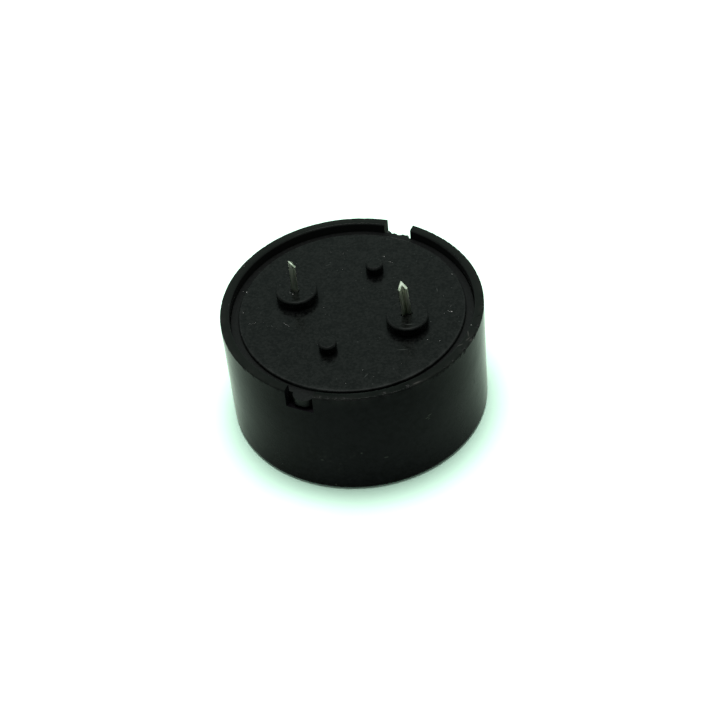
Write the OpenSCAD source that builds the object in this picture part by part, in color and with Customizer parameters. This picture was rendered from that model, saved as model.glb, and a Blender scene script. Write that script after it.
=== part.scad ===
// Round two-pin piezo buzzer, standing on its front face with the pins up.
// The origin is the centre of the front face, and the pins stand along X.

/* [Case] */
// Outer diameter of the case
case_d = 22; // [20:0.5:30]
// Height of the case, from the front face to the rim
case_h = 10.7; // [10:0.1:16]
// Thickness of the wall at the rim
rim_wall = 0.8; // [0.6:0.05:1.2]
// Thickness of the front wall
front_t = 1; // [0.8:0.1:1.5]
// Height that the rim stands above the base's outer ring
rim_stand = 0.85; // [0.5:0.05:1.5]
// Rounding of the front edge
front_round = 0.4; // [0.1:0.1:0.6]
// Rounding of the rim's two edges
rim_round = 0.15; // [0.05:0.05:0.3]
// Diameter of the sound hole
sound_hole_d = 3; // [1.5:0.5:3.5]
// Bevel round the mouth of the sound hole
hole_bevel = 0.25; // [0.1:0.05:0.5]

/* [Notches] */
// Width of the two notches in the rim
notch_w = 2.4; // [2:0.1:4]
// Depth of the notches below the rim
notch_depth = 1.7; // [1.4:0.1:2]
// Fall of a notch's floor from the outer skin to the bore
notch_fall = 0.3; // [0.1:0.1:0.4]
// Width of the locating lug
lug_w = 1.75; // [1.5:0.05:1.9]
// Thickness of the locating lug
lug_t = 0.7; // [0.5:0.05:0.8]
// Distance that the lug's face stays behind the outer skin
lug_recess = 0.25; // [0.1:0.05:0.4]
// Rounding of the lug's two upright corners
lug_round = 0.7; // [0.1:0.05:0.7]

/* [Base] */
// Thickness of the base below its outer ring
base_t = 1.3; // [1:0.1:2]
// Clearance between the base and the bore of the case
base_gap = 0.05; // [0.03:0.01:0.1]
// Width of the base's outer ring
ring_w = 0.65; // [0.5:0.05:1.2]
// Height of the plateau above the outer ring
plateau_rise = 0.3; // [0.15:0.05:0.4]
// Rounding of the plateau's edge
plateau_round = 0.12; // [0.05:0.01:0.15]
// Height of the bosses and studs above the plateau
standoff_h = 0.85; // [0.7:0.05:1.5]
// Diameter of the pin bosses
boss_d = 3.5; // [3:0.1:4]
// Rounding of the bosses' upper edges
boss_round = 0.15; // [0.05:0.05:0.3]
// Diameter of the studs
stud_d = 1.5; // [1:0.1:2.5]
// Rounding of the studs' upper edges
stud_round = 0.2; // [0.05:0.05:0.3]
// Distance between the two studs
stud_pitch = 10; // [8:0.1:12]
// Length of the guide posts under the base
post_h = 3; // [2:0.1:3.5]
// Diameter of a guide post at its lower end
post_d = 3.1; // [2.8:0.1:3.3]
// Thickness of the web that joins the guide posts
web_t = 0.8; // [0.6:0.1:1.2]
// Depth of that web
web_h = 1.4; // [0.8:0.1:2]
// Depth of the stiffening hoop under the base
hoop_h = 0.6; // [0.4:0.1:1]
// Distance from the hoop to the ribs of the case
hoop_gap = 0.8; // [0.4:0.1:1.2]

/* [Terminals] */
// Distance between the pins at the board
pin_pitch = 10; // [9:0.1:12]
// Length of a pin above its boss
pin_h = 3.35; // [2.5:0.05:6]
// Thickness of the terminal strip
strip_t = 0.2; // [0.15:0.05:0.3]
// Width of each flank of the V section
flank_w = 0.5; // [0.4:0.05:0.7]
// Angle between the two flanks of the V section
vee_angle = 90; // [70:5:120]
// Length of the pointed end
point_h = 0.65; // [0.3:0.05:1]
// Direction that the plate terminal's V opens in, away from the line through the pins
plate_turn = 48; // [0:1:90]
// Direction that the electrode terminal's V opens in, away from the same line
electrode_turn = 54; // [0:1:90]
// Lean of the plate terminal's pin towards the other pin, above its boss
plate_lean = 1; // [0.5:0.5:5]
// Lean of the electrode terminal's pin towards the other pin, above its boss
electrode_lean = 4; // [0.5:0.5:5]
// Clearance round a pin in its slot
slot_gap = 0.09; // [0.03:0.01:0.12]
// Diameter of the pad at the root of a terminal
pad_d = 2.6; // [2.2:0.1:3]
// Length that an arm stays flat beyond its pad
arm_root = 0.3; // [0.2:0.05:0.6]
// Width of a spring arm at its root
arm_w = 1.2; // [1:0.1:1.6]
// Width of a spring arm at its contact
arm_tip_w = 0.8; // [0.6:0.1:1]
// Radius of the curled contact at the end of an arm
contact_r = 0.5; // [0.4:0.05:0.7]
// Angle that the tip of an arm turns up past its contact
curl_up = 70; // [40:5:90]
// Gap left between a contact and what it touches
contact_gap = 0.02; // [0.01:0.01:0.05]
// Angle round the disc from a pin to where its arm touches the brass plate
plate_touch_turn = 46; // [40:1:60]
// Distance from the disc's centre to where the other arm touches the electrode
electrode_touch = 2.5; // [1:0.1:4]

/* [Sounding disc] */
// Height of the resonance cavity behind the front wall
cavity_h = 2; // [1:0.1:2.5]
// Depth of the ribs that stand in the bore
rib_depth = 0.65; // [0.4:0.05:0.9]
// Width of a rib
rib_w = 1.2; // [0.8:0.1:1.6]
// Number of ribs
rib_count = 6; // [4:1:8]
// Clearance between the brass plate and the ribs that centre it
plate_gap = 0.1; // [0.05:0.05:0.2]
// Thickness of the brass plate
plate_t = 0.2; // [0.1:0.05:0.3]
// Width of the ledge under the edge of the brass plate
ledge_lap = 0.9; // [0.6:0.1:1.2]
// Width of bare brass round the ceramic disc
bare_w = 2.5; // [2:0.1:3]
// Thickness of the ceramic disc
ceramic_t = 0.2; // [0.1:0.05:0.3]
// Width of the adhesive bead that lies on the brass plate
bead_lap = 0.5; // [0.3:0.05:0.6]
// Height of the adhesive bead above the brass plate
bead_h = 0.35; // [0.2:0.05:0.4]
// Clearance between the adhesive bead and the moulding
bead_gap = 0.03; // [0.02:0.01:0.05]

/* [Hidden] */

// Smoothness of round forms
$fn = 96;
// Overshoot that carries a cut, or the root of a solid, past a face
past = 0.5;

case_r = case_d / 2;
bore_r = case_r - rim_wall;
ring_z = case_h - rim_stand;
plateau_z = ring_z + plateau_rise;
board_z = plateau_z + standoff_h;
under_z = ring_z - base_t;
post_z = under_z - post_h;
pad_z = post_z - strip_t;
notch_z = case_h - notch_depth;
base_r = bore_r - base_gap;

rib_r = bore_r - rib_depth;
plate_r = rib_r - plate_gap;
cavity_r = plate_r - ledge_lap;
ceramic_r = plate_r - bare_w;
ledge_z = front_t + cavity_h;
plate_top = ledge_z + plate_t;
ceramic_top = plate_top + ceramic_t;

pin_x = pin_pitch / 2;
stud_y = stud_pitch / 2;
vee_half = vee_angle / 2;

// Where the arms touch, seen with their own pin on +X
plate_touch_r = (ceramic_r + cavity_r) / 2;
plate_touch = plate_touch_r * [cos(plate_touch_turn), sin(plate_touch_turn)];
electrode_point = [0, -electrode_touch];

black = [0.13, 0.145, 0.14];
tin = [0.74, 0.75, 0.73];

// ---- case ----

// Half of the outer form, with its two rounded edges
module case_outline() {
    square([case_r - front_round, case_h]);
    translate([0, front_round]) square([case_r, case_h - front_round - rim_round]);
    translate([0, front_round]) square([case_r - rim_round, case_h - front_round]);
    translate([case_r - front_round, front_round]) circle(r = front_round);
    translate([case_r - rim_round, case_h - rim_round]) circle(r = rim_round);
}

// Bore with its rounded mouth, cavity, and the sound hole with its bevelled mouth
module case_hollow() {
    hole_r = sound_hole_d / 2;
    translate([0, ledge_z]) square([bore_r, case_h]);
    difference() {
        translate([0, case_h - rim_round]) square([bore_r + rim_round, rim_round + past]);
        translate([bore_r + rim_round, case_h - rim_round]) circle(r = rim_round);
    }
    translate([0, front_t]) square([cavity_r, case_h]);
    square([hole_r, case_h]);
    polygon([
        [0, -past],
        [hole_r + hole_bevel + past, -past],
        [hole_r, hole_bevel],
        [0, hole_bevel]
    ]);
}

// Notch through the wall on +X, its floor falling towards the bore
module notch() {
    reach = rim_wall + past;
    fall = notch_fall * reach / rim_wall;
    rotate([90, 0, 0])
        linear_extrude(notch_w, center = true)
            polygon([
                [bore_r - past, case_h + past],
                [case_r + past, case_h + past],
                [case_r + past, notch_z],
                [case_r, notch_z],
                [case_r - reach, notch_z - fall]
            ]);
}

// Ribs in the bore: they centre the brass plate, and their tops carry the base
module ribs(grow = 0) {
    for (i = [0 : rib_count - 1])
        rotate((i + 0.5) * 360 / rib_count)
            translate([rib_r - grow, -rib_w / 2 - grow, ledge_z - past])
                cube([rib_depth + rim_wall / 2 + grow, rib_w + 2 * grow, under_z - ledge_z + past]);
}

module case() {
    color(black) {
        difference() {
            rotate_extrude()
                difference() {
                    case_outline();
                    case_hollow();
                }
            for (turn = [90, 270]) rotate(turn) notch();
        }
        ribs();
    }
}

// ---- base ----

// Upright round post with a rounded upper edge
module standoff(r, edge) {
    low = plateau_z - base_t / 2;
    rotate_extrude() {
        translate([0, low]) square([r - edge, board_z - low]);
        translate([0, low]) square([r, board_z - low - edge]);
        translate([r - edge, board_z - edge]) circle(r = edge);
    }
}

// Tongue on -Y that keys the base into the near notch
module lug() {
    face = case_r - lug_recess;
    corner_x = lug_w / 2 - lug_round;
    corner_y = lug_round - face;
    translate([0, 0, ring_z - lug_t])
        linear_extrude(lug_t)
            difference() {
                union() {
                    translate([-corner_x, -face]) square([2 * corner_x, face]);
                    translate([-lug_w / 2, corner_y]) square([lug_w, -corner_y]);
                    for (side = [-1, 1]) translate([side * corner_x, corner_y]) circle(r = lug_round);
                }
                circle(r = base_r - past);
            }
}

// Torn stub of the moulding gate on +Y, in the far notch
module gate_stub() {
    translate([0, base_r, ring_z - lug_t])
        linear_extrude(lug_t)
            polygon([
                [-1, -past], [-1.05, 0.22], [-0.9, 0.3], [-0.7, 0.18], [-0.52, 0.03], [-0.35, 0.14],
                [-0.12, 0.1], [0.02, 0.02], [0.2, 0.06], [0.42, 0.22], [0.65, 0.17], [0.85, 0.24],
                [1.02, 0.1], [1, -past]
            ]);
}

// Disc with its plateau, and the stiffening hoop under it
module base_disc() {
    plateau_r = base_r - ring_w;
    rotate_extrude() {
        translate([0, under_z]) square([base_r, base_t]);
        translate([0, under_z]) square([plateau_r - plateau_round, base_t + plateau_rise]);
        translate([0, under_z]) square([plateau_r, base_t + plateau_rise - plateau_round]);
        translate([plateau_r - plateau_round, plateau_z - plateau_round]) circle(r = plateau_round);
    }
    rotate_extrude()
        translate([rib_r - hoop_gap - web_t, under_z - hoop_h])
            square([web_t, hoop_h + base_t / 2]);
}

// Boss above the disc and tapered guide post below it, both round one pin
module pin_housing() {
    standoff(boss_d / 2, boss_round);
    translate([0, 0, post_z]) cylinder(d1 = post_d, d2 = boss_d, h = post_h);
}

// Slot that a pin at x stands in, through the boss and the guide post
module pin_slot(x, turn) {
    translate([x, 0, post_z - past])
        rotate(turn)
            linear_extrude(board_z - post_z + 2 * past) vee_section(slot_gap);
}

module base() {
    color(black)
        difference() {
            union() {
                base_disc();
                lug();
                gate_stub();
                for (side = [-1, 1]) {
                    translate([side * pin_x, 0, 0]) pin_housing();
                    translate([0, side * stud_y, 0]) standoff(stud_d / 2, stud_round);
                }
                translate([-pin_x, -web_t / 2, under_z - web_h])
                    cube([pin_pitch, web_t, web_h + base_t / 2]);
            }
            pin_slot(-pin_x, plate_turn);
            pin_slot(pin_x, -electrode_turn);
        }
}

// ---- terminals ----

// Section of a pin: two flanks that open along +X from a round fold and end beside the origin
module vee_section(grow = 0) {
    translate([-flank_w * cos(vee_half), 0]) {
        circle(d = strip_t + 2 * grow);
        for (side = [-1, 1])
            rotate(side * vee_half)
                translate([0, -strip_t / 2 - grow])
                    square([flank_w + grow, strip_t + 2 * grow]);
    }
}

// Outline that cuts the end of a pin to a point, seen along the V
module point_outline() {
    half = flank_w * sin(vee_half) + strip_t / 2;
    polygon([
        [-half, -2 * past],
        [half, -2 * past],
        [half, pin_h - point_h],
        [0, pin_h],
        [-half, pin_h - point_h]
    ]);
}

// Pin from its pad to its point, bent towards -X at the boss
module bent_pin(turn, lean) {
    size = 4 * (board_z - pad_z);
    // upright below the mitre plane of the bend
    intersection() {
        translate([0, 0, pad_z - board_z + strip_t / 2])
            rotate(turn) linear_extrude(2 * (board_z - pad_z)) vee_section();
        rotate([0, -lean / 2, 0])
            translate([-size / 2, -size / 2, -size]) cube(size);
    }
    // leaning above it
    intersection() {
        rotate([0, -lean, 0])
            rotate(turn)
                intersection() {
                    translate([0, 0, -past]) linear_extrude(pin_h + past) vee_section();
                    rotate([90, 0, 90])
                        linear_extrude(4 * flank_w, center = true) point_outline();
                }
        rotate([0, -lean / 2, 0])
            translate([-size / 2, -size / 2, 0]) cube(size);
    }
}

function unit(v) = v / norm(v);

// From a point of the strip's middle line to its upper face, along the mitre of its bend
function to_face(points, i) =
    let (
        before = unit(points[max(i, 1)] - points[max(i, 1) - 1]),
        last = len(points) - 1,
        after = unit(points[min(i + 1, last)] - points[min(i, last - 1)]),
        normal = [-before.y, before.x],
        mitre = unit(normal + [-after.y, after.x])
    )
    mitre * strip_t / 2 / (mitre * normal);

// Strip bent along its middle line, seen from its side
module bent_strip(points) {
    last = len(points) - 1;
    polygon(concat(
        [for (i = [0 : last]) points[i] + to_face(points, i)],
        [for (i = [last : -1 : 0]) points[i] - to_face(points, i)]
    ));
}

// Side view of an arm: a flat root, a straight run down, and a contact curled upwards
module arm_side(reach, touch_z) {
    curl = [reach, touch_z + contact_gap + contact_r];
    mid_r = contact_r - strip_t / 2;
    root = [pad_d / 2 + arm_root, pad_z + strip_t / 2];
    away = curl - root;
    slope = asin(mid_r / norm(away)) - atan2(away.y, away.x);
    bent_strip(concat(
        [[0, root.y], root],
        [for (a = [-slope, 0, curl_up / 3, curl_up * 2 / 3, curl_up]) curl + mid_r * [sin(a), -cos(a)]]
    ));
}

// Spring arm along +X, narrowing from its root to its contact
module spring_arm(reach, touch_z) {
    intersection() {
        rotate([90, 0, 0])
            linear_extrude(arm_w, center = true) arm_side(reach, touch_z);
        linear_extrude(post_z)
            polygon([
                [0, -arm_w / 2],
                [pad_d / 2, -arm_w / 2],
                [reach, -arm_tip_w / 2],
                [reach + contact_r, -arm_tip_w / 2],
                [reach + contact_r, arm_tip_w / 2],
                [reach, arm_tip_w / 2],
                [pad_d / 2, arm_w / 2],
                [0, arm_w / 2]
            ]);
    }
}

// Stamped terminal at the pin on +X: turn is where its V opens, point is where its arm touches
module terminal(turn, lean, point, touch_z) {
    to_touch = point - [pin_x, 0];
    color(tin)
        translate([pin_x, 0, 0]) {
            translate([0, 0, board_z]) bent_pin(turn, lean);
            translate([0, 0, pad_z]) cylinder(d = pad_d, h = strip_t);
            rotate(atan2(to_touch.y, to_touch.x)) spring_arm(norm(to_touch), touch_z);
        }
}

module terminal_plate() {
    mirror([1, 0, 0]) terminal(180 - plate_turn, plate_lean, plate_touch, plate_top);
}

module terminal_electrode() {
    terminal(-electrode_turn, electrode_lean, electrode_point, ceramic_top);
}

// ---- sounding disc ----

module diaphragm() {
    color([0.78, 0.62, 0.3]) translate([0, 0, ledge_z]) cylinder(r = plate_r, h = plate_t);
}

module ceramic() {
    color([0.8, 0.8, 0.78]) translate([0, 0, plate_top]) cylinder(r = ceramic_r, h = ceramic_t);
}

// Silicone bead that fills the corner between the brass plate, the ledge and the bore
module adhesive() {
    inner = plate_r - bead_lap;
    outer = bore_r - bead_gap;
    top = plate_top + bead_h;
    color([0.86, 0.86, 0.83])
        difference() {
            rotate_extrude() {
                translate([inner + bead_h, plate_top]) square([outer - inner - bead_h, bead_h]);
                translate([plate_r + bead_gap, ledge_z])
                    square([outer - plate_r - bead_gap, top - ledge_z]);
                intersection() {
                    translate([inner + bead_h, plate_top]) circle(r = bead_h);
                    translate([inner, plate_top]) square(bead_h);
                }
            }
            ribs(bead_gap);
        }
}

case();
base();
terminal_plate();
terminal_electrode();
diaphragm();
ceramic();
adhesive();
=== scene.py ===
import math
import random

import bpy
from mathutils import Matrix, Vector, noise


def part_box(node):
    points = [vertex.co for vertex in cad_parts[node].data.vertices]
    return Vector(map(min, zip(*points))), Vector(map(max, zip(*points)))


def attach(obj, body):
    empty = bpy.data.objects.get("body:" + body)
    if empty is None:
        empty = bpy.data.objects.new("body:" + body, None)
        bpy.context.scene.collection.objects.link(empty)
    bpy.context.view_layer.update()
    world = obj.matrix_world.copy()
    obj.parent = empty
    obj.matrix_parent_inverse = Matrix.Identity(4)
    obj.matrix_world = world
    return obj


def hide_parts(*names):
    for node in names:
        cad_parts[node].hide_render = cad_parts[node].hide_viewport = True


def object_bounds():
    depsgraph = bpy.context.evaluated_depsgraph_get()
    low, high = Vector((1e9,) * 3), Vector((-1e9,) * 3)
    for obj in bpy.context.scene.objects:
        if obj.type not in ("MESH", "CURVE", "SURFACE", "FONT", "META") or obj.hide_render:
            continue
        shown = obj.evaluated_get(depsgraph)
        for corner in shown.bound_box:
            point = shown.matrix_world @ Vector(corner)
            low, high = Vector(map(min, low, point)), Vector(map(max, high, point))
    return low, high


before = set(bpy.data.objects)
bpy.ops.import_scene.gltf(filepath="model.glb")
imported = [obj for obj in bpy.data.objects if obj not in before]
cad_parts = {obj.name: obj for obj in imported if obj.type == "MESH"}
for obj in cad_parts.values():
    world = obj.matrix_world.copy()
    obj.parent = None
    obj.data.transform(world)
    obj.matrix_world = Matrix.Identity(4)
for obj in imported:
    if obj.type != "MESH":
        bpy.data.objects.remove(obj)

cad_low, cad_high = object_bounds()


# ---- camera ----
# A long lens looks down at 45 degrees on the pin side, from the side that the
# lug is on. It is rolled a little, so the part seems to lean.
scene = bpy.context.scene
mm = 0.001
view_azimuth = math.radians(-62.97)
view_elevation = math.radians(44.79)
view_roll = math.radians(-6.08)
view_distance = 162.36 * mm
view_side = -0.09 * mm
view_rise = 2.93 * mm
# the camera takes these two in millimetres
lens_length = 93.28
film_width = 36.0
nearest_seen = 1 * mm
farthest_seen = 20.0

camera_data = bpy.data.cameras.new("camera")
camera_data.lens = lens_length
camera_data.sensor_width = film_width
camera_data.clip_start = nearest_seen
camera_data.clip_end = farthest_seen
camera = bpy.data.objects.new("camera", camera_data)
scene.collection.objects.link(camera)
view_turn = Matrix.Rotation(view_azimuth + math.pi / 2, 4, "Z")
camera_turn = (
    view_turn
    @ Matrix.Rotation(math.pi / 2 - view_elevation, 4, "X")
    @ Matrix.Rotation(view_roll, 4, "Z")
)
camera.matrix_world = camera_turn @ Matrix.Translation((view_side, view_rise, view_distance))
scene.camera = camera

scene.view_settings.view_transform = "Standard"


# ---- floor and light ----
# A pale, faintly green sheet of paper under one soft overhead light and a soft
# glow from all round. Seen directly or mirrored, both are brighter than the light
# that they throw on the part, and the paper fades to plain white farther out.
floor_size = 3.0
paper_colour = (0.62, 0.87, 0.72)
paper_seen = (1.12, 1.57, 1.3)
paper_mirrored = (1.2, 1.55, 1.27)
fade_start = 60 * mm
fade_end = 120 * mm
glow_strength = 0.2
glow_colour = (0.92, 1.0, 0.95)
mirrored_glow = (0.95, 1.2, 1.08)
lamp_size = 160 * mm
lamp_distance = 300 * mm
lamp_tilt = math.radians(6)
lamp_power = 0.9


def put(tree, kind, inputs=None, **settings):
    """Add a shader node, with its settings, and each of its inputs set or linked."""
    made = tree.nodes.new("ShaderNode" + kind)
    for name, value in settings.items():
        setattr(made, name, value)
    for name, value in (inputs or {}).items():
        if isinstance(value, bpy.types.NodeSocket):
            tree.links.new(value, made.inputs[name])
        else:
            made.inputs[name].default_value = value
    return made


def mixed(tree, share, under, over):
    """Shader that goes from under to over with the share."""
    return put(tree, "MixShader", {0: share, 1: under, 2: over}).outputs[0]


def measure(tree, operation, *vectors):
    """Length of one vector, or distance or dot product of two."""
    return put(tree, "VectorMath", dict(enumerate(vectors)), operation=operation).outputs["Value"]


def ranged(tree, value, low, high, to_low=0.0, to_high=1.0):
    """Map a value's range onto another, held at both ends."""
    inputs = {"Value": value, "From Min": low, "From Max": high, "To Min": to_low, "To Max": to_high}
    return put(tree, "MapRange", inputs).outputs["Result"]


bpy.ops.object.select_all(action="DESELECT")
bpy.ops.mesh.primitive_plane_add(size=floor_size, location=(0, 0, cad_low.z))
floor = bpy.context.object
floor.name = "paper_floor"

paper = bpy.data.materials.new("paper")
paper.use_nodes = True
tree = paper.node_tree
tree.nodes.clear()
rays = put(tree, "LightPath").outputs
plain = put(tree, "BsdfDiffuse", {"Color": (*paper_colour, 1)}).outputs[0]
seen = put(tree, "BsdfDiffuse", {"Color": (*paper_seen, 1)}).outputs[0]
mirrored = put(tree, "BsdfDiffuse", {"Color": (*paper_mirrored, 1)}).outputs[0]
white = put(tree, "Emission", {"Color": (1, 1, 1, 1), "Strength": 1.0}).outputs[0]
from_part = measure(tree, "LENGTH", put(tree, "TexCoord").outputs["Object"])
faded = mixed(tree, ranged(tree, from_part, fade_start, fade_end), seen, white)
direct = mixed(tree, rays["Is Camera Ray"], plain, faded)
surface = mixed(tree, rays["Is Glossy Ray"], direct, mirrored)
put(tree, "OutputMaterial", {"Surface": surface})
floor.data.materials.append(paper)

world = bpy.data.worlds.new("studio")
scene.world = world
world.use_nodes = True
tree = world.node_tree
tree.nodes.clear()
rays = put(tree, "LightPath").outputs
glow = put(tree, "Background", {"Color": (*glow_colour, 1), "Strength": glow_strength}).outputs[0]
mirrored = put(tree, "Background", {"Color": (*mirrored_glow, 1)}).outputs[0]
white = put(tree, "Background", {"Color": (1, 1, 1, 1)}).outputs[0]
unseen = mixed(tree, rays["Is Glossy Ray"], glow, mirrored)
put(tree, "OutputWorld", {"Surface": mixed(tree, rays["Is Camera Ray"], unseen, white)})

lamp_data = bpy.data.lights.new("overhead", "AREA")
lamp_data.shape = "DISK"
lamp_data.size = lamp_size
lamp_data.energy = lamp_power
lamp = bpy.data.objects.new("overhead", lamp_data)
scene.collection.objects.link(lamp)
lamp_turn = view_turn @ Matrix.Rotation(-lamp_tilt, 4, "X")
lamp.matrix_world = lamp_turn @ Matrix.Translation((0, 0, lamp_distance))


# ---- case ----
# A cup moulded in black plastic, with a thin rim and a satin wall. Handling has
# knocked small nicks in the rim's outer edge and left scuffs on the rim and wall.
rim_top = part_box("case")[1].z
case_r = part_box("case")[1].x
rim_wall = 0.8 * mm
notch_half = 1.2 * mm
notch_depth = 1.8 * mm
# across the part, towards the side that the lug is on
to_lug = Vector((0.45, -0.89, 0))
# the nicks: the band along the edge that they keep to, their depth and spacing,
# the share of the depth that they have all round, the extra at one heading, and
# how far they fall for each step in
knock_band = 0.3 * mm
knock_depth = 0.2 * mm
knock_pitch = 0.4 * mm
knock_all_round = 0.25
knock_extra = 1.4
knock_heading = math.radians(-6)
knock_fall = 0.4
knock_cuts = 4
# the moulding's black, and the colours of its wear, its rim (chafed, with painted
# shade on the lug's side), its bore (painted light), its broken notch and its scuffs
case_black = (0.003, 0.0027, 0.0033)
case_worn = (0.0073, 0.0066, 0.008)
case_chafed = (0.0083, 0.0105, 0.0089)
case_rim_shade = (0.0045, 0.006, 0.005)
case_bore_painted_light = (0.0115, 0.0125, 0.0118)
case_torn = (0.014, 0.0155, 0.013)
case_scuffed = (0.036, 0.036, 0.033)
scuffed_rough = 0.6
# how strongly the rim's outer edge is chafed, and the wall speckled where it was rubbed
edge_chafe = 0.26
rub_speckle = 0.3


def new_material(name, base, **values):
    """Start a material whose shader has these uniform values, and return its parts."""
    made = bpy.data.materials.new(name)
    made.use_nodes = True
    tree = made.node_tree
    shader = tree.nodes["Principled BSDF"]
    shader.inputs["Base Color"].default_value = (*base, 1)
    for socket, value in values.items():
        shader.inputs[socket.replace("_", " ")].default_value = value
    return made, tree, shader, put(tree, "TexCoord").outputs["Object"]


def blend(tree, mask, low, high):
    """Colour that goes from low to high with the mask."""
    made = put(tree, "Mix", {0: mask}, data_type="RGBA", clamp_factor=True)
    for index, colour in ((6, low), (7, high)):
        if isinstance(colour, bpy.types.NodeSocket):
            tree.links.new(colour, made.inputs[index])
        else:
            made.inputs[index].default_value = (*colour, 1)
    return made.outputs[2]


def cloud(tree, coords, size, detail=2.0):
    """Soft noise whose blotches are about this size across."""
    inputs = {"Vector": coords, "Scale": 0.5 / size, "Detail": detail}
    return put(tree, "TexNoise", inputs).outputs["Fac"]


def varied(tree, grain, low, high):
    """Value that wanders from low to high with a noise, most of which lies between 0.3 and 0.7."""
    return ranged(tree, grain, 0.3, 0.7, low, high)


def maths(tree, operation, *values):
    """One sum on numbers or sockets."""
    return put(tree, "Math", dict(enumerate(values)), operation=operation).outputs[0]


def product(tree, first, *others):
    """First times each of the others."""
    for other in others:
        first = maths(tree, "MULTIPLY", first, other)
    return first


def largest(tree, first, *others):
    """The largest of the values."""
    for other in others:
        first = maths(tree, "MAXIMUM", first, other)
    return first


def line_at(tree, value, middle, core, reach, strength=1.0):
    """Mask that is full while a value is within core of the middle, and gone past reach."""
    apart = maths(tree, "ABSOLUTE", maths(tree, "SUBTRACT", value, middle))
    return ranged(tree, apart, core, reach, strength, 0)


def scratch(tree, coords, place, half, turn=0.0):
    """Mask of one mark at a place, of these half sizes along its own X, Y and Z, turned about Z."""
    inputs = {"Vector": coords, "Location": place, "Rotation": (0, 0, math.radians(turn)), "Scale": half}
    own = put(tree, "Mapping", inputs, vector_type="TEXTURE").outputs[0]
    spot = put(tree, "TexGradient", {"Vector": own}, gradient_type="SPHERICAL").outputs["Fac"]
    return ranged(tree, spot, 0.0, 0.6)


def relief(tree, height, strength, depth, **under):
    """Normal of a surface with this relief, over a coarser one where Normal is given."""
    inputs = {"Height": height, "Strength": strength, "Distance": depth, **under}
    return put(tree, "Bump", inputs).outputs[0]


def finish(tree, shader, colour, roughness, normal):
    """Link a surface's colour, roughness and relief to its shader."""
    for socket, source in (("Base Color", colour), ("Roughness", roughness), ("Normal", normal)):
        tree.links.new(source, shader.inputs[socket])


def dress(piece, material):
    """Give a piece this one material."""
    piece.data.materials.clear()
    piece.data.materials.append(material)


def merged_copy(node):
    """A merged copy of a CAD node's mesh, active, with nothing of its mesh selected."""
    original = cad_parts[node]
    bpy.ops.object.select_all(action="DESELECT")
    piece = original.copy()
    piece.data = original.data.copy()
    scene.collection.objects.link(piece)
    piece.select_set(True)
    bpy.context.view_layer.objects.active = piece
    bpy.ops.mesh.customdata_custom_splitnormals_clear()
    bpy.ops.object.mode_set(mode="EDIT")
    bpy.ops.mesh.select_all(action="SELECT")
    bpy.ops.mesh.remove_doubles(threshold=0.0001 * mm)
    bpy.ops.mesh.select_all(action="DESELECT")
    bpy.ops.object.mode_set(mode="OBJECT")
    return piece


def shade_by_angle(angle):
    """Make the active piece triangles, smooth except where it turns more than this many degrees."""
    bpy.ops.object.mode_set(mode="EDIT")
    bpy.ops.mesh.select_all(action="SELECT")
    bpy.ops.mesh.quads_convert_to_tris(quad_method="BEAUTY", ngon_method="BEAUTY")
    bpy.ops.object.mode_set(mode="OBJECT")
    bpy.ops.object.shade_smooth_by_angle(angle=math.radians(angle), keep_sharp_edges=False)


def radial(place):
    """Direction from the part's middle line out to a point."""
    return Vector((place.x, place.y, 0)).normalized()


def at_rim_edge(place):
    """Whether a point lies on the rim's rounded outer edge."""
    return place.z > rim_top - knock_band and place.xy.length > case_r - knock_band


def knocked(place):
    """Where a point of the rim's outer edge lies after the knocks."""
    nearness = 1 - min(1, (rim_top - place.z) / knock_band)
    coarse = noise.noise(place / knock_pitch)
    fine = noise.noise(place / (0.4 * knock_pitch))
    knock = max(0, coarse + 0.5 * fine - 0.1)
    towards = max(0, math.cos(math.atan2(place.y, place.x) - knock_heading))
    hardness = knock_all_round + knock_extra * towards ** 8
    depth = knock_depth * knock * hardness * nearness
    return place - radial(place) * depth - Vector((0, 0, knock_fall * depth))


case = merged_copy("case")
case.name = "case_knocked"
bpy.ops.object.mode_set(mode="EDIT")
bpy.ops.mesh.select_mode(type="FACE")
bpy.ops.mesh.select_all(action="SELECT")
bpy.ops.mesh.bisect(plane_co=(0, 0, rim_top - 1.2 * knock_band), plane_no=(0, 0, 1))
bpy.ops.object.mode_set(mode="OBJECT")
for polygon in case.data.polygons:
    polygon.select = all(at_rim_edge(case.data.vertices[i].co) for i in polygon.vertices)
bpy.ops.object.mode_set(mode="EDIT")
bpy.ops.mesh.subdivide(number_cuts=knock_cuts)
bpy.ops.object.mode_set(mode="OBJECT")
for vertex in case.data.vertices:
    if at_rim_edge(vertex.co):
        vertex.co = knocked(vertex.co)
shade_by_angle(35)
# the wall and the bore are true cylinders, so their upright faces that look
# straight out or in shade as round, not as facets
normals = [corner.vector.copy() for corner in case.data.corner_normals]
for polygon in case.data.polygons:
    if abs(polygon.normal.z) > 0.01:
        continue
    for corner in polygon.loop_indices:
        outward = radial(case.data.vertices[case.data.loops[corner].vertex_index].co)
        facing = polygon.normal.dot(outward)
        if abs(facing) > 0.99:
            normals[corner] = outward if facing > 0 else -outward
case.data.normals_split_custom_set(normals)
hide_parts("case")
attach(case, "root")

case_plastic, tree, shader, coords = new_material(
    "case_plastic", case_black, IOR=1.5, Specular_IOR_Level=0.02
)
x, y, z = put(tree, "SeparateXYZ", {0: coords}).outputs
from_middle = measure(tree, "LENGTH", put(tree, "CombineXYZ", {0: x, 1: y}).outputs[0])
below = maths(tree, "SUBTRACT", rim_top, z)
inside = maths(tree, "SUBTRACT", case_r, from_middle)
lug_side = measure(tree, "DOT_PRODUCT", coords, to_lug)
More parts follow.
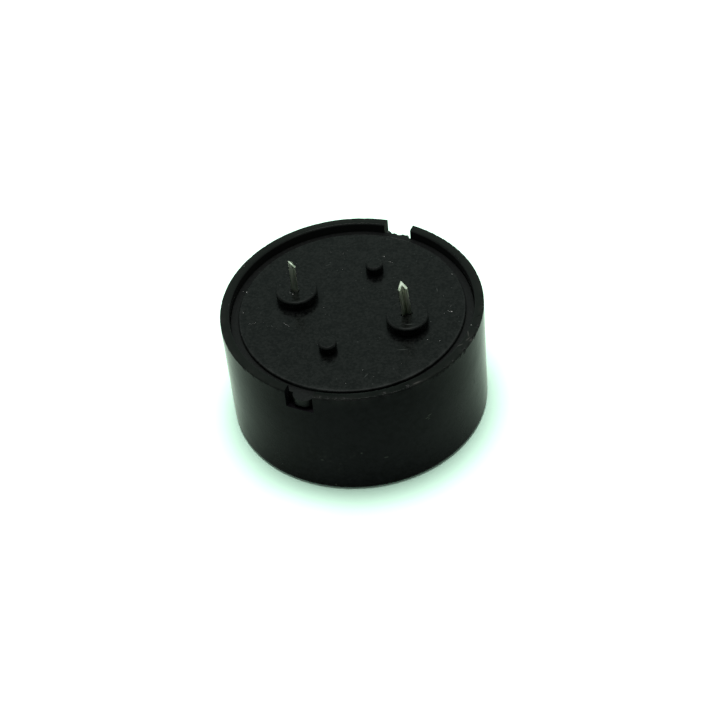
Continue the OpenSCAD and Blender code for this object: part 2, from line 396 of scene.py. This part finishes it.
# the rim's outer edge is chafed, 0.6 mm across its top and 1 mm down the wall
down = product(tree, largest(tree, below, 0), 0.6)
to_edge = maths(tree, "ADD", down, largest(tree, inside, 0))
edge = ranged(tree, to_edge, 0.1 * mm, 0.6 * mm, 1, 0)
chafe_and_painted_highlight = ranged(tree, cloud(tree, coords, 0.6 * mm, 4), 0.35, 0.7)
scuffs_and_painted_highlights = product(tree, edge, chafe_and_painted_highlight, edge_chafe)
# single scuffs, each with its place, half sizes and turn
marks = [
    ((10.4 * mm, -0.2 * mm, rim_top), (0.07 * mm, 0.45 * mm, 0.1 * mm), 25),
    ((10.6 * mm, -0.8 * mm, rim_top), (0.06 * mm, 0.35 * mm, 0.1 * mm), -20),
    ((10.2 * mm, -1.7 * mm, rim_top), (0.45 * mm, 0.07 * mm, 0.1 * mm), 45),
    ((10.9 * mm, -0.8 * mm, rim_top), (0.3 * mm, 0.12 * mm, 0.2 * mm), 60),
    ((8.5 * mm, -6.7 * mm, rim_top), (0.5 * mm, 0.1 * mm, 0.1 * mm), 50),
    ((-8.1 * mm, -5.9 * mm, rim_top), (0.4 * mm, 0.05 * mm, 0.1 * mm), 27),
    ((9.1 * mm, -6.1 * mm, 6.6 * mm), (0.2 * mm, 0.25 * mm, 0.1 * mm), -35),
    ((9.0 * mm, -6.3 * mm, 6.4 * mm), (0.2 * mm, 0.25 * mm, 0.1 * mm), -35),
    ((9.1 * mm, -6.2 * mm, 6.2 * mm), (0.2 * mm, 0.15 * mm, 0.06 * mm), -35),
    ((1.4 * mm, -10.9 * mm, 3.4 * mm), (0.15 * mm, 0.15 * mm, 0.12 * mm), 0),
    ((6.3 * mm, -9.0 * mm, 3.5 * mm), (0.25 * mm, 0.2 * mm, 0.1 * mm), 35),
    ((4.6 * mm, -10.0 * mm, 4.4 * mm), (0.12 * mm, 0.12 * mm, 0.12 * mm), 0),
    ((2.3 * mm, -10.8 * mm, 0.5 * mm), (0.12 * mm, 0.15 * mm, 0.15 * mm), 0),
]
for place, half, turn in marks:
    scuffs_and_painted_highlights = largest(tree, scuffs_and_painted_highlights, scratch(tree, coords, place, half, turn))
# patches of the wall that rubbing has mottled, each with its place and half sizes
rubs = [
    ((9.8 * mm, -4.9 * mm, 9.9 * mm), (1.4 * mm, 1.4 * mm, 0.6 * mm)),
    ((-6.4 * mm, -8.9 * mm, 7 * mm), (1.2 * mm, 1.2 * mm, 3 * mm)),
    ((3 * mm, -10.6 * mm, 4 * mm), (4 * mm, 1 * mm, 2.5 * mm)),
]
speckle = ranged(tree, cloud(tree, coords, 0.2 * mm, 4), 0.55, 0.75, 0, rub_speckle)
for place, half in rubs:
    scuffs_and_painted_highlights = largest(tree, scuffs_and_painted_highlights, product(tree, speckle, scratch(tree, coords, place, half)))
# the gate was broken off in the far notch, which left that notch's faces rough
notch_side = product(
    tree,
    ranged(tree, maths(tree, "ABSOLUTE", x), notch_half + 0.02 * mm, notch_half + 0.05 * mm, 1, 0),
    ranged(tree, inside, rim_wall, rim_wall + 0.1 * mm, 1, 0),
    ranged(tree, below, notch_depth, notch_depth + 0.1 * mm, 1, 0),
    ranged(tree, y, 0, 1 * mm),
)
# the rim's top is chafed and has painted shade on the lug's side, and the bore is painted lighter as
# painted light
mottle = maths(tree, "ADD", cloud(tree, coords, 4 * mm, 3), cloud(tree, coords, 0.25 * mm, 3))
rim = ranged(tree, below, 0.02 * mm, 0.12 * mm, 1, 0)
# painted shade: the rim's top is painted darker on the lug's side
chafed_and_painted_light = blend(tree, ranged(tree, lug_side, 6 * mm, 10 * mm), case_chafed, case_rim_shade)
colour = blend(tree, ranged(tree, mottle, 0.8, 1.2), case_black, case_worn)
colour = blend(tree, rim, colour, chafed_and_painted_light)
# painted light: the bore is painted a lighter grey than the wall
colour = blend(tree, ranged(tree, inside, rim_wall - 0.06 * mm, rim_wall - 0.01 * mm), colour, case_bore_painted_light)
colour = blend(tree, notch_side, colour, case_torn)
colour = blend(tree, scuffs_and_painted_highlights, colour, case_scuffed)
# one short, thin groove runs down the wall's right side
groove = scratch(tree, coords, (11 * mm, -0.8 * mm, 6 * mm), (0.2 * mm, 0.05 * mm, 0.5 * mm))
satin = varied(tree, cloud(tree, coords, 0.8 * mm, 3), 0.11, 0.18)
roughness = ranged(tree, largest(tree, scuffs_and_painted_highlights, notch_side, groove), 0, 1, satin, scuffed_rough)
# the moulding is a little wavy, with a faint grain
wavy = relief(tree, cloud(tree, coords, 2 * mm, 2), strength=1.0, depth=0.04 * mm)
grain = relief(tree, cloud(tree, coords, 0.15 * mm, 3), strength=0.3, depth=0.02 * mm, Normal=wavy)
finish(tree, shader, colour, roughness, grain)
dress(case, case_plastic)


# ---- base ----
# A black disc moulded with its bosses, studs and lug, snapped off its gate and
# pressed into the rim. Its upper face has a finely eroded grain.
standoff_h = 0.85 * mm
plateau_rise = 0.3 * mm
boss_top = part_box("base")[1].z
plateau_top = boss_top - standoff_h
ring_top = plateau_top - plateau_rise
plateau_r = 9.5 * mm
gate_y = 10.1 * mm
pin_x = 5 * mm
stud_y = 5 * mm
boss_r = 1.75 * mm
stud_r = 0.75 * mm
# each boss and stud: its middle, its radius, and how strong a painted highlight its edge towards the lug
# gets
standoffs = [
    ((-pin_x, 0, 0), boss_r, 0.5),
    ((pin_x, 0, 0), boss_r, 0.55),
    ((0, -stud_y, 0), stud_r, 0.4),
    ((0, stud_y, 0), stud_r, 0.0),
]
base_black = (0.0003, 0.0004, 0.0004)
base_worn = (0.0052, 0.0056, 0.0053)
base_scuffed_and_highlight = (0.03, 0.033, 0.031)
ring_rough = 0.5
rubbed_rough = 0.7
# how much the plateau's edge is rubbed beside the bosses' edges, and how strong
# the pale specks are and how far apart
plateau_rub = 0.6
speck_strength = 0.7
speck_pitch = 0.5 * mm

base_plastic, tree, shader, coords = new_material(
    "base_plastic", base_black, IOR=1.5, Specular_IOR_Level=0.08
)
x, y, z = put(tree, "SeparateXYZ", {0: coords}).outputs
flat = put(tree, "CombineXYZ", {0: x, 1: y}).outputs[0]
from_middle = measure(tree, "LENGTH", flat)
lug_side = measure(tree, "DOT_PRODUCT", flat, to_lug)
above_ring = ranged(tree, z, ring_top + 0.1 * mm, ring_top + 0.2 * mm)
above_plateau = ranged(tree, z, plateau_top + 0.05 * mm, plateau_top + 0.1 * mm)
at_top = ranged(tree, z, boss_top - 0.2 * mm, boss_top - 0.15 * mm)
# rubbing has roughened the edges of the plateau, bosses and studs; painted highlights
# lighten those edges, most of all towards the lug, and painted shade darkens their feet
# painted highlight: a lighter band inside the plateau's edge, strongest towards the lug
chafe_and_painted_highlight = product(
    tree,
    ranged(tree, lug_side, 2 * mm, 8 * mm, 0.03, 0.3),
    ranged(tree, from_middle, plateau_r - 0.5 * mm, plateau_r - 0.15 * mm),
    ranged(tree, cloud(tree, coords, 0.5 * mm, 3), 0.35, 0.65),
    above_ring,
)
rubbed = 0.0
fronts = 0.0
foot = 0.0
for place, radius, chafed_and_painted_light in standoffs:
    away = measure(tree, "DISTANCE", flat, place)
    rubbed = largest(tree, rubbed, line_at(tree, away, radius - 0.05 * mm, 0.08 * mm, 0.13 * mm))
    middle = to_lug.dot(Vector(place))
    # painted highlight: the top edge of each boss and stud towards the lug is painted lighter
    front = ranged(tree, lug_side, middle + 0.8 * radius, middle + 0.95 * radius, 0, chafed_and_painted_light)
    front = product(tree, front, line_at(tree, away, radius - 0.14 * mm, 0.03 * mm, 0.09 * mm))
    fronts = largest(tree, fronts, front)
    foot = largest(tree, foot, ranged(tree, away, radius, radius + 0.6 * mm, 1, 0))
chafe_and_painted_highlight = largest(tree, chafe_and_painted_highlight, product(tree, fronts, at_top))
plateau_edge = line_at(tree, from_middle, plateau_r - 0.05 * mm, 0.09 * mm, 0.14 * mm, plateau_rub)
rubbed = largest(tree, product(tree, rubbed, at_top), plateau_edge)
# painted shade: the plateau is painted darker round the feet of the bosses and studs
clear_of_foot_shade = largest(tree, above_plateau, maths(tree, "SUBTRACT", 1.0, foot))
# pale specks are scattered in the face, and the stub of the gate is torn
specks = put(tree, "TexVoronoi", {"Vector": coords, "Scale": 1 / speck_pitch}).outputs
chosen = put(tree, "SeparateColor", {0: specks["Color"]}).outputs[0]
near_speck = ranged(tree, specks["Distance"], 0.05, 0.17, 1, 0)
speck = product(tree, near_speck, ranged(tree, chosen, 0.8, 0.85), speck_strength)
at_gate = ranged(tree, y, gate_y, gate_y + 0.1 * mm)
torn = product(tree, at_gate, ranged(tree, cloud(tree, coords, 0.2 * mm, 3), 0.45, 0.6))
scuffs_and_painted_highlights = largest(tree, speck, torn, chafe_and_painted_highlight)
# single scuffs, each with its place, half sizes and turn
marks = [
    ((5.6 * mm, -1.0 * mm, boss_top), (0.45 * mm, 0.06 * mm, 0.1 * mm), 25),
    ((5.8 * mm, -3.1 * mm, plateau_top), (0.5 * mm, 0.05 * mm, 0.1 * mm), 20),
    ((5.9 * mm, 4.4 * mm, plateau_top), (0.3 * mm, 0.05 * mm, 0.1 * mm), -60),
    ((4.1 * mm, -6.8 * mm, plateau_top), (0.35 * mm, 0.05 * mm, 0.1 * mm), 75),
    ((-4.1 * mm, 4.4 * mm, plateau_top), (0.3 * mm, 0.05 * mm, 0.1 * mm), 40),
]
for place, half, turn in marks:
    scuffs_and_painted_highlights = largest(tree, scuffs_and_painted_highlights, scratch(tree, coords, place, half, turn))
# the grain is greyed in fine mottles, fewer on the sunk ring and round the feet as painted shade, and the
# ring is duller
grains = cloud(tree, coords, 0.12 * mm, 2)
mottle = maths(tree, "ADD", product(tree, cloud(tree, coords, 0.5 * mm, 3), 0.5), grains)
# painted shade: the sunk ring and the corners at the feet keep less of the grey, so they are darker
grey_less_in_painted_shade = product(tree, ranged(tree, mottle, 0.6, 0.9), ranged(tree, above_ring, 0, 1, 0.35, 1), clear_of_foot_shade)
colour = blend(tree, scuffs_and_painted_highlights, blend(tree, grey_less_in_painted_shade, base_black, base_worn), base_scuffed_and_highlight)
satin = varied(tree, grains, 0.22, 0.27)
roughness = ranged(tree, above_ring, 0, 1, ring_rough, satin)
roughness = ranged(tree, rubbed, 0, 1, roughness, rubbed_rough)
finish(tree, shader, colour, roughness, relief(tree, grains, strength=1.0, depth=0.018 * mm))
dress(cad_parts["base"], base_plastic)


# ---- terminals ----
# Two spring terminals stamped from thin tin-plated strip, which rolling left with
# faint lines. Their points are coined inside the V. The base's posts hold them,
# and their pins come out through its bosses.
tin_bright = (0.66, 0.63, 0.56)
tin_dark = (0.14, 0.165, 0.115)
foot_shade_h = 2.6 * mm
along_strip = (1, 1, 0.06)
coined_w = 0.17 * mm
# only the two acute edges at the point, inside the V, turn this far
point_turn = math.radians(118)

tin, tree, shader, coords = new_material("tin_plate", tin_bright, Metallic=1.0)
lines = put(tree, "Mapping", {"Vector": coords, "Scale": along_strip}).outputs[0]
rolled = cloud(tree, lines, 0.12 * mm, 1)
# the tin is painted darker towards the foot, as painted shade from the moulding
height = put(tree, "SeparateXYZ", {0: coords}).outputs[2]
# painted shade: the lowest part of each pin is painted darker
at_foot = ranged(tree, height, boss_top, boss_top + foot_shade_h, 0.5, 0)
darkening = maths(tree, "ADD", at_foot, ranged(tree, rolled, 0.42, 0.58, 0, 0.7))
colour = blend(tree, darkening, tin_bright, tin_dark)
roughness = varied(tree, rolled, 0.29, 0.36)
finish(tree, shader, colour, roughness, relief(tree, rolled, strength=0.1, depth=0.005 * mm))
for name in ("terminal_plate", "terminal_electrode"):
    terminal = merged_copy(name)
    terminal.name = name + "_coined"
    bpy.ops.object.mode_set(mode="EDIT")
    bpy.ops.mesh.select_mode(type="EDGE")
    bpy.ops.mesh.edges_select_sharp(sharpness=point_turn)
    bpy.ops.mesh.bevel(offset_type="WIDTH", offset=coined_w, segments=1, affect="EDGES")
    shade_by_angle(30)
    dress(terminal, tin)
    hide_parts(name)
    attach(terminal, "root")


# ---- sounding disc ----
# A rolled brass plate carries a thin ceramic disc whose outer face is a coat of
# fired silver. A bead of milky silicone bonds the plate's edge to the case.
brass_bright = (0.78, 0.56, 0.25)
brass_dull = (0.55, 0.38, 0.17)
silver_light = (0.76, 0.76, 0.73)
silver_dull = (0.6, 0.6, 0.57)
silicone_white = (0.78, 0.78, 0.74)
silicone_deep = (0.66, 0.66, 0.62)
silicone_soak = (0.4 * mm, 0.4 * mm, 0.35 * mm)
along_sheet = (0.05, 1, 1)

brass, tree, shader, coords = new_material("brass_sheet", brass_bright, Metallic=1.0)
lines = put(tree, "Mapping", {"Vector": coords, "Scale": along_sheet}).outputs[0]
rolled = cloud(tree, lines, 0.05 * mm, 2)
darkening = ranged(tree, cloud(tree, coords, 2 * mm, 4), 0.4, 0.7)
colour = blend(tree, darkening, brass_bright, brass_dull)
roughness = varied(tree, rolled, 0.24, 0.4)
finish(tree, shader, colour, roughness, relief(tree, rolled, strength=0.2, depth=0.01 * mm))
dress(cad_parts["diaphragm"], brass)

silver, tree, shader, coords = new_material("fired_silver", silver_light, Metallic=0.7)
flakes = cloud(tree, coords, 0.08 * mm, 3)
colour = blend(tree, cloud(tree, coords, 1.5 * mm, 3), silver_light, silver_dull)
roughness = varied(tree, flakes, 0.5, 0.65)
finish(tree, shader, colour, roughness, relief(tree, flakes, strength=0.3, depth=0.01 * mm))
dress(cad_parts["ceramic"], silver)

silicone, tree, shader, coords = new_material("silicone_bead", silicone_white, Subsurface_Weight=0.3)
shader.inputs["Subsurface Radius"].default_value = silicone_soak
shader.inputs["Subsurface Scale"].default_value = 1.0
swirls = cloud(tree, coords, 1.2 * mm, 2)
colour = blend(tree, swirls, silicone_white, silicone_deep)
roughness = varied(tree, swirls, 0.35, 0.5)
finish(tree, shader, colour, roughness, relief(tree, swirls, strength=0.3, depth=0.05 * mm))
dress(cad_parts["adhesive"], silicone)


# ---- dust and lint ----
# Pale dust and a few short fibres have settled on the pin side. Each fleck is a
# flat crumb, and each fibre is a thin curl that lies on the plateau.
lint_pale = (0.42, 0.42, 0.4)
lint_grey = (0.28, 0.28, 0.27)
fibre_r = 0.007 * mm
fine_fibre_r = 0.004 * mm
dusted_r = 9 * mm
fine_crumbs = 40
# the larger crumbs: where across the part each lies, on which face, and its size
large_crumbs = [
    (-9.3 * mm, -0.9 * mm, plateau_top, 0.11 * mm),
    (-9.8 * mm, -0.6 * mm, ring_top, 0.06 * mm),
    (-8.5 * mm, -3.3 * mm, plateau_top, 0.07 * mm),
    (8.0 * mm, 2.3 * mm, plateau_top, 0.13 * mm),
    (7.3 * mm, -1.4 * mm, plateau_top, 0.08 * mm),
    (8.3 * mm, -1.2 * mm, plateau_top, 0.07 * mm),
    (0.1 * mm, 6.9 * mm, plateau_top, 0.09 * mm),
    (-3.4 * mm, 6.1 * mm, plateau_top, 0.06 * mm),
    (6.4 * mm, 6.6 * mm, plateau_top, 0.08 * mm),
    (3.6 * mm, -6.3 * mm, plateau_top, 0.06 * mm),
    (10.3 * mm, 0.8 * mm, rim_top, 0.07 * mm),
    (-10.6 * mm, 1.5 * mm, rim_top, 0.07 * mm),
    (-5.3 * mm, -0.6 * mm, boss_top, 0.08 * mm),
    (-5.0 * mm, -0.7 * mm, boss_top, 0.1 * mm),
]
chance = random.Random(7)

lint, tree, shader, coords = new_material("lint", lint_pale, Specular_IOR_Level=0.2)
tufts = cloud(tree, coords, 0.05 * mm, 3)
colour = blend(tree, tufts, lint_pale, lint_grey)
roughness = varied(tree, tufts, 0.75, 0.95)
finish(tree, shader, colour, roughness, relief(tree, tufts, strength=0.4, depth=0.01 * mm))


def fleck(x, y, z, size):
    """One flattened, uneven crumb of dust that rests on the face at height z."""
    bpy.ops.object.select_all(action="DESELECT")
    bpy.ops.mesh.primitive_ico_sphere_add(subdivisions=2, radius=size / 2, location=(x, y, z + 0.15 * size))
    crumb = bpy.context.object
    crumb.scale = (1, chance.uniform(0.4, 0.9), chance.uniform(0.3, 0.5))
    crumb.rotation_euler = (0, 0, chance.uniform(0, math.pi))
    for vertex in crumb.data.vertices:
        vertex.co *= chance.uniform(0.75, 1.15)
    bpy.ops.object.transform_apply(location=True, rotation=True, scale=True)
    return crumb


def fibre(thick, points):
    """One fibre of this radius along its five points."""
    bpy.ops.object.select_all(action="DESELECT")
    bpy.ops.curve.primitive_nurbs_path_add()
    path = bpy.context.object
    spline = path.data.splines[0]
    for point, (x, y, lift) in zip(spline.points, points):
        point.co = (x * mm, y * mm, plateau_top + thick + lift * mm, 1)
    spline.use_endpoint_u = True
    path.data.bevel_depth = thick
    path.data.bevel_resolution = 1
    path.data.use_fill_caps = True
    bpy.ops.object.convert(target="MESH")
    return bpy.context.object


def gather(pieces, name):
    """Join loose pieces into one named piece with the lint material."""
    bpy.ops.object.select_all(action="DESELECT")
    for piece in pieces:
        piece.select_set(True)
    bpy.context.view_layer.objects.active = pieces[0]
    bpy.ops.object.join()
    made = bpy.context.object
    made.name = name
    bpy.ops.object.transform_apply(location=True, rotation=True, scale=True)
    dress(made, lint)
    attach(made, "root")


crumbs = [fleck(*crumb) for crumb in large_crumbs]
for _ in range(fine_crumbs):
    turn = chance.uniform(0, 2 * math.pi)
    out = dusted_r * math.sqrt(chance.uniform(0.05, 1))
    size = chance.uniform(0.02, 0.045) * mm
    crumbs.append(fleck(out * math.cos(turn), out * math.sin(turn), plateau_top, size))
gather(crumbs, "dust_flecks")

# the fibres: each one's radius, and its five points in millimetres, across, along
# and above the plateau
laid_fibres = [
    (fine_fibre_r, (-7.5, -4.3, 0), (-7.4, -4.4, 0), (-7.2, -4.3, 0), (-7.1, -4.2, 0), (-7.0, -4.0, 0)),
    (fibre_r, (-4.8, -3.3, 0), (-4.7, -3.4, 0), (-4.5, -3.4, 0.02), (-4.3, -3.5, 0.02), (-4.1, -3.6, 0)),
    (fine_fibre_r, (0.7, 6.5, 0), (0.8, 6.4, 0), (0.9, 6.4, 0), (1.0, 6.4, 0), (1.1, 6.4, 0)),
    (fibre_r, (7.6, 2.3, 0), (7.7, 2.3, 0), (7.8, 2.3, 0.02), (7.9, 2.3, 0), (8.0, 2.3, 0)),
]
gather([fibre(thick, points) for thick, *points in laid_fibres], "lint_fibres")
